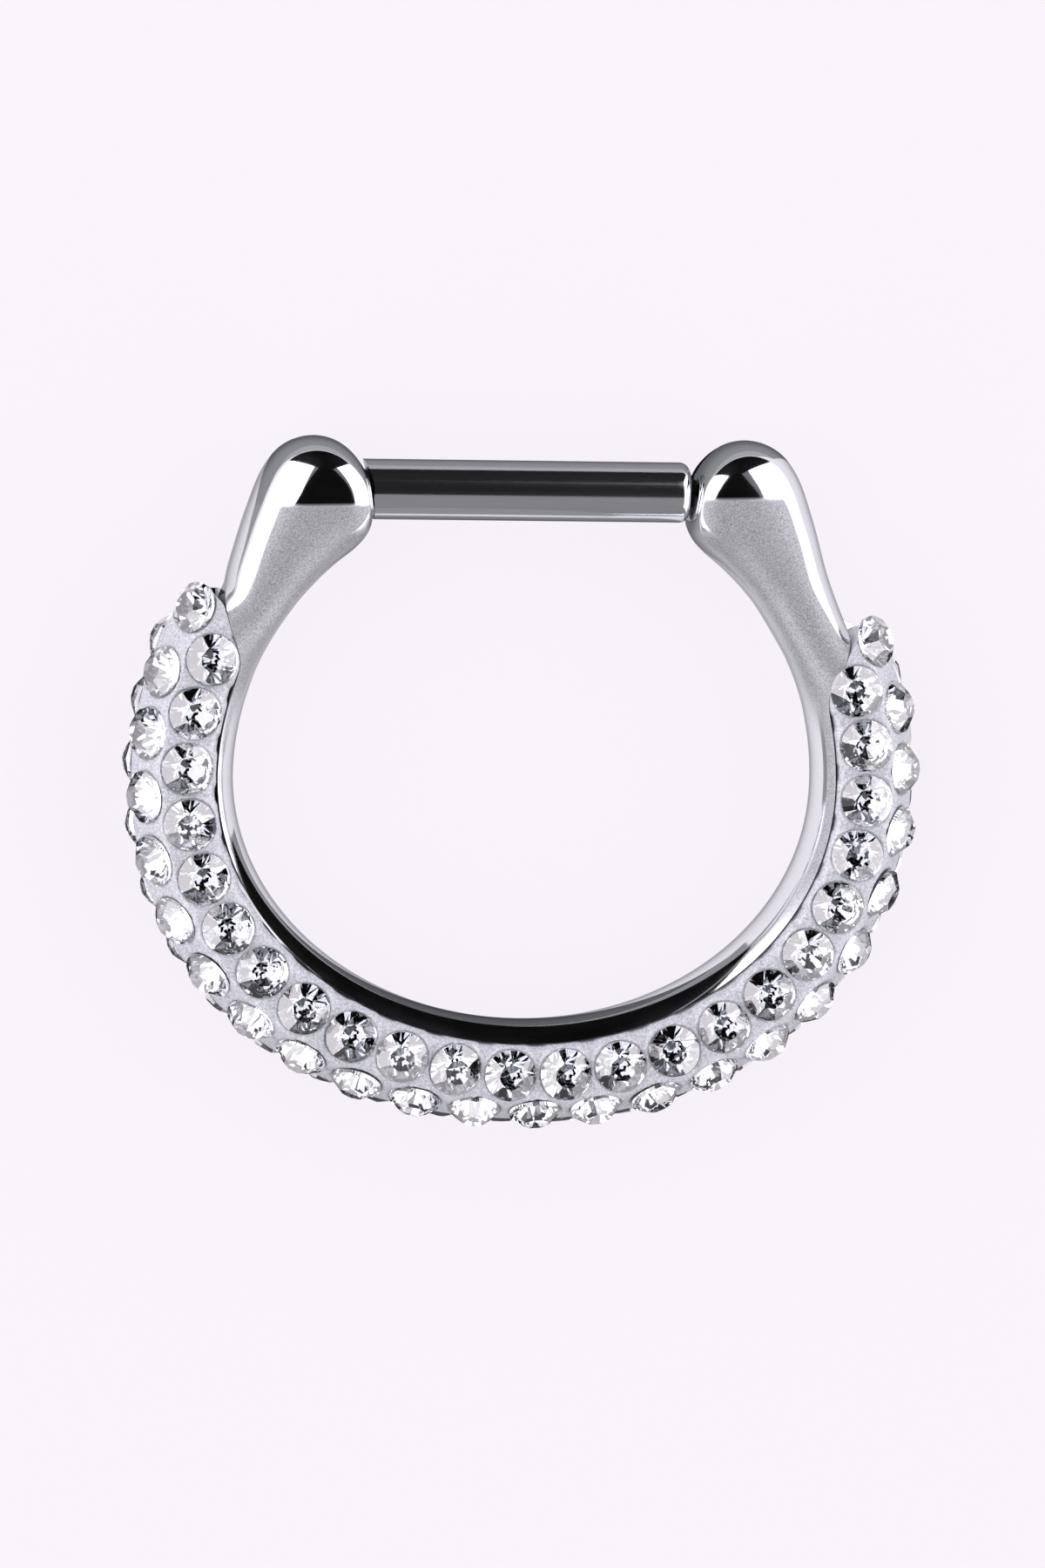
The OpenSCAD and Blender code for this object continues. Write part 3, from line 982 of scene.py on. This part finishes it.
class OBJECT_OT_clicker_stones(Operator):
    """Field of round cut crystals with silvered backs, in four staggered rows"""

    bl_idname = "object.clicker_stones"
    bl_label = "Stones"

    def execute(self, context):
        s, g = ring_sizes(), stone_sizes()
        points, faces, kinds = cut_stone(g)
        placed = set_stones(s, g, points)
        all_faces = [[i + k * len(points) for i in f] for k in range(len(placed)) for f in faces]
        obj = mesh_object("crystal_stones", set_down(s, np.vstack(placed)), all_faces)
        colours = context.scene.clicker_colours
        crystal = crystal_material("clear_crystal", colours.crystal)
        foil = foil_material("crystal_foil", colours.foil)
        finish_piece(obj, "ring", "stones", [crystal, foil])
        obj.data.polygons.foreach_set("material_index", kinds * len(placed))
        return {"FINISHED"}


# The bar and its pin


def bar_rings(s, start, end, along=60, rounded=12, around=128):
    """Rings of the bar: a plain round from its start, whose free end is rounded over by a
    quarter circle of bar_rim and then closed flat."""
    bar_r = s.bar_d / 2
    rim = np.linspace(0, math.pi / 2, rounded + 1)[1:]
    plain = np.linspace(start, end - s.bar_rim, along)
    x = np.concatenate([plain, end - s.bar_rim + s.bar_rim * np.sin(rim), [end]])
    over = bar_r - s.bar_rim + s.bar_rim * np.cos(rim)
    r = np.concatenate([np.full(along, bar_r), over, [(bar_r - s.bar_rim) * 0.5]])
    q = np.linspace(0, 2 * math.pi, around, endpoint=False)
    y, z = s.bar_y + r[:, None] * np.cos(q), r[:, None] * np.sin(q)
    return np.stack([np.broadcast_to(x[:, None], y.shape), y, z], -1)


def hollow_hinge_end(s, bar):
    """Cuts the bar's hinge end to a hollow round the knob and along the knob's sloping face."""
    hinge, _ = knob_centres(s)
    face_x, slope = knob_face(s)
    knuckle = circle(s.knob_r + s.knuckle_gap, 256) + hinge
    carve(bar, plate(s, "knuckle", knuckle, -s.bar_d, s.bar_d))
    cos, sin = math.cos(slope), math.sin(slope)
    reach = face_x * cos + s.knuckle_gap
    box = np.array([[-s.knob_r, -2 * s.knob_r], [reach, -2 * s.knob_r], [reach, 0], [-s.knob_r, 0]])
    box = box @ np.array([[cos, sin], [-sin, cos]]) + hinge
    carve(bar, plate(s, "face", box, -s.bar_d, s.bar_d))


def add_hinge_tongue(s, bar):
    """Joins the round tongue with the pin's eye to the bar."""
    hinge, _ = knob_centres(s)
    r, root = tongue_r(s), s.knob_r + s.bar_d / 2
    outline = np.vstack([circle(r, 65, 90, 270), [[root, -r], [root, r]]]) + hinge
    tongue = plate(s, "hinge_tongue", outline, *tongue_heights(s))
    eye = circle(s.pin_d / 2 + 2 * FIT, 64) + hinge
    carve(tongue, plate(s, "eye", eye, -s.bar_d, s.bar_d))
    carve(bar, tongue, "UNION")


def add_catch_tongue(s, bar, end):
    """Joins the straight tongue that enters the catch knob to the bar. Its corners are round."""
    corner, tall = 0.2, TONGUE_HALF_H
    root, tip = end - s.bar_rim, end + s.end_gap + TONGUE_REACH
    outline = np.vstack([
        [[root, -tall]],
        circle(corner, 9, -90, 0) + [tip - corner, corner - tall],
        circle(corner, 9, 0, 90) + [tip - corner, tall - corner],
        [[root, tall]],
    ]) + [0, s.bar_y]
    carve(bar, plate(s, "catch_tongue", outline, *tongue_heights(s)), "UNION")


class OBJECT_OT_clicker_bar(Operator):
    """Straight bar with its hollowed hinge end, rounded free end and two tongues"""

    bl_idname = "object.clicker_bar"
    bl_label = "Bar"

    def execute(self, context):
        s = ring_sizes()
        face_x, _ = knob_face(s)
        end = s.knob_x - face_x - s.end_gap
        obj = skin_object(s, "bar_steel", bar_rings(s, -s.knob_x + s.knob_r / 2, end))
        hollow_hinge_end(s, obj)
        add_hinge_tongue(s, obj)
        add_catch_tongue(s, obj, end)
        steel = context.scene.clicker_colours.steel
        material = steel_material("bar_steel", steel, 0.12, 1e-7, drawn=0.02)
        finish_piece(obj, "bar", "bar", [material], 35)
        return {"FINISHED"}


def pin_rings(s, around=64):
    """Rings of the pin: a plain round with a slightly domed back, its two edges broken."""
    sunk, edge, dome, r = 0.04, 0.03, 0.004, s.pin_d / 2
    low, high = sunk - s.knob_half_depth, s.knob_half_depth - PIN_SKIN - FIT
    profile = [
        (0.3 * r, low - dome),
        (0.8 * r, low),
        (r - edge * 0.3, low + edge * 0.3),
        (r, low + edge),
        (r, (low + high) / 2),
        (r, high - edge),
        (r - edge, high),
        (0.3 * r, high),
    ]
    hinge, _ = knob_centres(s)
    return np.stack([np.c_[circle(1, around) * r + hinge, np.full(around, z)] for r, z in profile])


class OBJECT_OT_clicker_pin(Operator):
    """Hinge pin in the left knob, its end polished nearly flush with the back"""

    bl_idname = "object.clicker_pin"
    bl_label = "Hinge Pin"

    def execute(self, context):
        s = ring_sizes()
        obj = skin_object(s, "pin_steel", pin_rings(s))
        material = steel_material("pin_steel", context.scene.clicker_colours.steel, 0.2, 1e-7)
        finish_piece(obj, "ring", "hinge_pin", [material], 30)
        return {"FINISHED"}


# Floor, light and camera

# What lights, cards and flags face, in metres
TARGET = (0, 0.00011, 0.00126)

# Soft boxes and a dim low one: name, azimuth, elevation, distance, width, height, radiance
SOFT_BOXES = (
    ("left_box", -58, 8, 0.3, 0.52, 1.1, 2.0),
    ("right_box", 66, 8, 0.3, 0.52, 1.1, 2.0),
    ("low_card", 3, -44, 0.28, 0.36, 0.48, 0.08),
)

# Colours of the soft boxes' light and of the studio round them
BOX_COLOUR = (1.0, 0.957, 1.016)
STUDIO_COLOUR = (0.17, 0.17, 0.18, 1)

# Black flags: name, azimuth, elevation, distance, width at the low and at the high edge, height
FLAGS = (
    ("stem_flag", 2, 17, 0.25, 0.25, 0.04, 0.29),
    ("cap_flag", 3, 67, 0.24, 0.07, 0.46, 0.24),
)

# Height of the cards that lie on the floor, in millimetres
CARD_Z = 0.03

# The camera: its direction from the ring and its roll in degrees, and its distance in metres
CAMERA_AZIMUTH = -8.5
CAMERA_ELEVATION = 7.5
CAMERA_ROLL = 0.4
CAMERA_DISTANCE = 0.18

# The picture: its height and scale, and how far the ring's centre stands above its middle
PICTURE_H_PX = 1800
PX_PER_METRE = 57500
RING_ABOVE_MIDDLE_PX = 7.5


def way_to(azimuth, elevation):
    """Direction from the ring, at this azimuth to the right of its front and this elevation
    towards the bar."""
    az, el = math.radians(azimuth), math.radians(elevation)
    return Vector((math.sin(az) * math.cos(el), math.sin(el), math.cos(az) * math.cos(el)))


def hold(name, data, azimuth, elevation, distance):
    """An object that faces the ring from this direction. Its width runs across and its height
    towards the bar."""
    way = way_to(azimuth, elevation)
    up = (Vector((0, 1, 0)) - way * way.y).normalized()
    turn = Matrix((up.cross(way), up, way)).transposed()
    obj = bpy.data.objects.new(name, data)
    obj.matrix_world = Matrix.Translation(Vector(TARGET) + way * distance) @ turn.to_4x4()
    bpy.context.scene.collection.objects.link(obj)
    return obj


def soft_box(name, azimuth, elevation, distance, width, height, radiance):
    """A soft box. Its power is its radiance times its area and pi."""
    light = bpy.data.lights.new(name, "AREA")
    light.shape = "RECTANGLE"
    light.size = width
    light.size_y = height
    light.energy = radiance * math.pi * width * height
    light.color = BOX_COLOUR
    hold(name, light, azimuth, elevation, distance).visible_camera = False


def card_mesh(name, first, second, material):
    """A card between two lines with the same number of points, in metres."""
    count = len(first)
    mesh = bpy.data.meshes.new(name)
    quads = [(k, k + 1, count + k + 1, count + k) for k in range(count - 1)]
    mesh.from_pydata(np.vstack([first, second]).tolist(), [], quads)
    mesh.materials.append(material)
    return mesh


def only_reflected(obj):
    """Keeps a card out of the picture, the shadows and the soft light: only the steel and the
    stones show it."""
    obj.visible_camera = False
    obj.visible_shadow = False
    obj.visible_diffuse = False


def flag(name, azimuth, elevation, distance, low_width, high_width, height, material):
    """A card held over the ring, wider or narrower towards the bar."""
    low, high, y = low_width / 2, high_width / 2, height / 2
    mesh = card_mesh(name, [(-low, -y, 0), (low, -y, 0)], [(-high, y, 0), (high, y, 0)], material)
    only_reflected(hold(name, mesh, azimuth, elevation, distance))


def table_card(name, first, second, material):
    """A card that lies or stands on the floor, between two lines of points in millimetres."""
    mesh = card_mesh(name, first / 1000, second / 1000, material)
    obj = bpy.data.objects.new(name, mesh)
    bpy.context.scene.collection.objects.link(obj)
    only_reflected(obj)


def on_floor(points):
    """Points just above the floor, in millimetres."""
    return np.c_[points, np.full(len(points), CARD_Z)]


def floor_line(s, angles, out):
    """Points on the floor under the band's curve, moved out by a distance."""
    line, _ = curve_point(s, angles, out)
    return on_floor(line + shift(s)[:2])


def add_floor(floor_colour):
    """A square floor at Z = 0."""
    half = 0.4
    corners = [(-half, -half, 0), (half, -half, 0), (half, half, 0), (-half, half, 0)]
    mesh = bpy.data.meshes.new("floor")
    mesh.from_pydata(corners, [], [(0, 1, 2, 3)])
    mesh.materials.append(floor_material("pale_floor", floor_colour))
    floor = bpy.data.objects.new("floor", mesh)
    bpy.context.scene.collection.objects.link(floor)


def add_lights(scene):
    """Soft boxes in a dim grey studio."""
    world = bpy.data.worlds.new("studio")
    world.use_nodes = True
    set_inputs(world.node_tree.nodes["Background"], {"Color": STUDIO_COLOUR, "Strength": 1})
    scene.world = world
    scene.view_settings.view_transform = "Standard"
    for row in SOFT_BOXES:
        soft_box(*row)


def add_bar_cards(grey, pale):
    """Cards on the floor past the knobs, far behind them and under the bar."""
    near = on_floor([(-14, 4.6), (-5.4, 6.5), (5.2, 5.9)])
    table_card("top_card", near, on_floor([(-17, 11.4), (-6, 11.4), (9, 11.4)]), grey)
    table_card("far_card", on_floor([(-14, 11.4), (9, 11.4)]), on_floor([(-30, 60), (25, 60)]), pale)
    table_card("bar_card", on_floor([(-2.8, 1.6), (3.2, 1.6)]), on_floor([(-3.4, 5.2), (3.6, 5.2)]), grey)


def add_band_cards(s, black, grey):
    """Cards that the track and the stones show: a standing black one inside the ring that grows
    lower and narrower towards its ends, a grey one behind it, a dim one at its foot, and a dark
    one on the floor under the band's outer edge. The dim and the dark one are painted shade: they
    put the ring's shade on the floor, which the evenly glowing floor lacks, into the reflections."""
    along = np.linspace(-1, 1, 60)
    ends = along[:, None] ** 2
    hole = floor_line(s, -94 + 58 * along, -2.4)
    table_card("hole_card", hole + 1.3 * UP * ends, hole + 4.5 * UP - 3 * UP * ends, black)
    back = floor_line(s, -94 + 58 * along, -2.5)
    table_card("back_card", back, back + 4.7 * UP - 3 * UP * ends, grey)
    # Painted shade: a dim card on the floor at the track's foot, seen only in reflections, in place of the
    # ring's shade there
    arc = -90 + 50 * along
    near = floor_line(s, arc, -0.1 - 2.3 * ends[:, 0])
    table_card("foot_card", floor_line(s, arc, -2.45), near, card_material("foot_shade_card", 0.14))
    # Painted shade: a dark card on the floor under and round the band's outer edge, seen only in
    # reflections, in place of the ring's shade there
    arc = np.linspace(-200, 20, 80)
    dark = card_material("edge_shade_card", 0.05)
    table_card("edge_card", floor_line(s, arc, 0.8), floor_line(s, arc, 4.0), dark)


def add_camera(scene, s):
    """The camera at the photograph's angle, rolled a little about its own line of sight."""
    back = way_to(CAMERA_AZIMUTH, CAMERA_ELEVATION)
    right = (Vector((1, 0, 0)) - back * back.x).normalized()
    right.rotate(Matrix.Rotation(math.radians(CAMERA_ROLL), 3, back))
    up = back.cross(right)
    camera = bpy.data.cameras.new("camera")
    camera.sensor_width = 36
    camera.lens = camera.sensor_width * CAMERA_DISTANCE / (PICTURE_H_PX / PX_PER_METRE)
    camera.clip_start = 0.01
    camera.clip_end = 5
    obj = bpy.data.objects.new("camera", camera)
    aim = Vector(shift(s) * 0.001) - up * (RING_ABOVE_MIDDLE_PX / PX_PER_METRE)
    turn = Matrix((right, up, back)).transposed()
    obj.matrix_world = Matrix.Translation(aim + back * CAMERA_DISTANCE) @ turn.to_4x4()
    scene.collection.objects.link(obj)
    scene.camera = obj


class SCENE_OT_clicker_stage(Operator):
    """Pale floor, soft studio light, black and grey cards, and the camera"""

    bl_idname = "scene.clicker_stage"
    bl_label = "Stage"

    def execute(self, context):
        s = ring_sizes()
        add_floor(context.scene.clicker_colours.floor)
        add_lights(context.scene)
        black, grey = card_material("black_card", 0), card_material("grey_card", 0.3)
        for row in FLAGS:
            flag(*row, black)
        add_bar_cards(grey, card_material("pale_card", 0.42))
        add_band_cards(s, black, grey)
        add_camera(context.scene, s)
        return {"FINISHED"}


class VIEW3D_PT_clicker_ring(Panel):
    """Buttons that build the ring's pieces"""

    bl_label = "Clicker Ring"
    bl_idname = "VIEW3D_PT_clicker_ring"
    bl_space_type = "VIEW_3D"
    bl_region_type = "UI"
    bl_category = "Clicker Ring"

    def draw(self, context):
        for step in STEPS:
            self.layout.operator(step.bl_idname)


STEPS = (
    OBJECT_OT_clicker_hoop,
    OBJECT_OT_clicker_bed,
    OBJECT_OT_clicker_stones,
    OBJECT_OT_clicker_bar,
    OBJECT_OT_clicker_pin,
    SCENE_OT_clicker_stage,
)
GROUPS = (RingSizes, StoneSizes, RingColours)


def register():
    for cls in GROUPS + STEPS + (VIEW3D_PT_clicker_ring,):
        bpy.utils.register_class(cls)
    bpy.types.Scene.clicker_sizes = PointerProperty(type=RingSizes)
    bpy.types.Scene.clicker_stones = PointerProperty(type=StoneSizes)
    bpy.types.Scene.clicker_colours = PointerProperty(type=RingColours)


def unregister():
    del bpy.types.Scene.clicker_colours
    del bpy.types.Scene.clicker_stones
    del bpy.types.Scene.clicker_sizes
    for cls in reversed(GROUPS + STEPS + (VIEW3D_PT_clicker_ring,)):
        bpy.utils.unregister_class(cls)


def main():
    register()
    bpy.ops.object.clicker_hoop()
    bpy.ops.object.clicker_bed()
    bpy.ops.object.clicker_stones()
    bpy.ops.object.clicker_bar()
    bpy.ops.object.clicker_pin()
    bpy.ops.scene.clicker_stage()


if __name__ == "__main__":
    main()
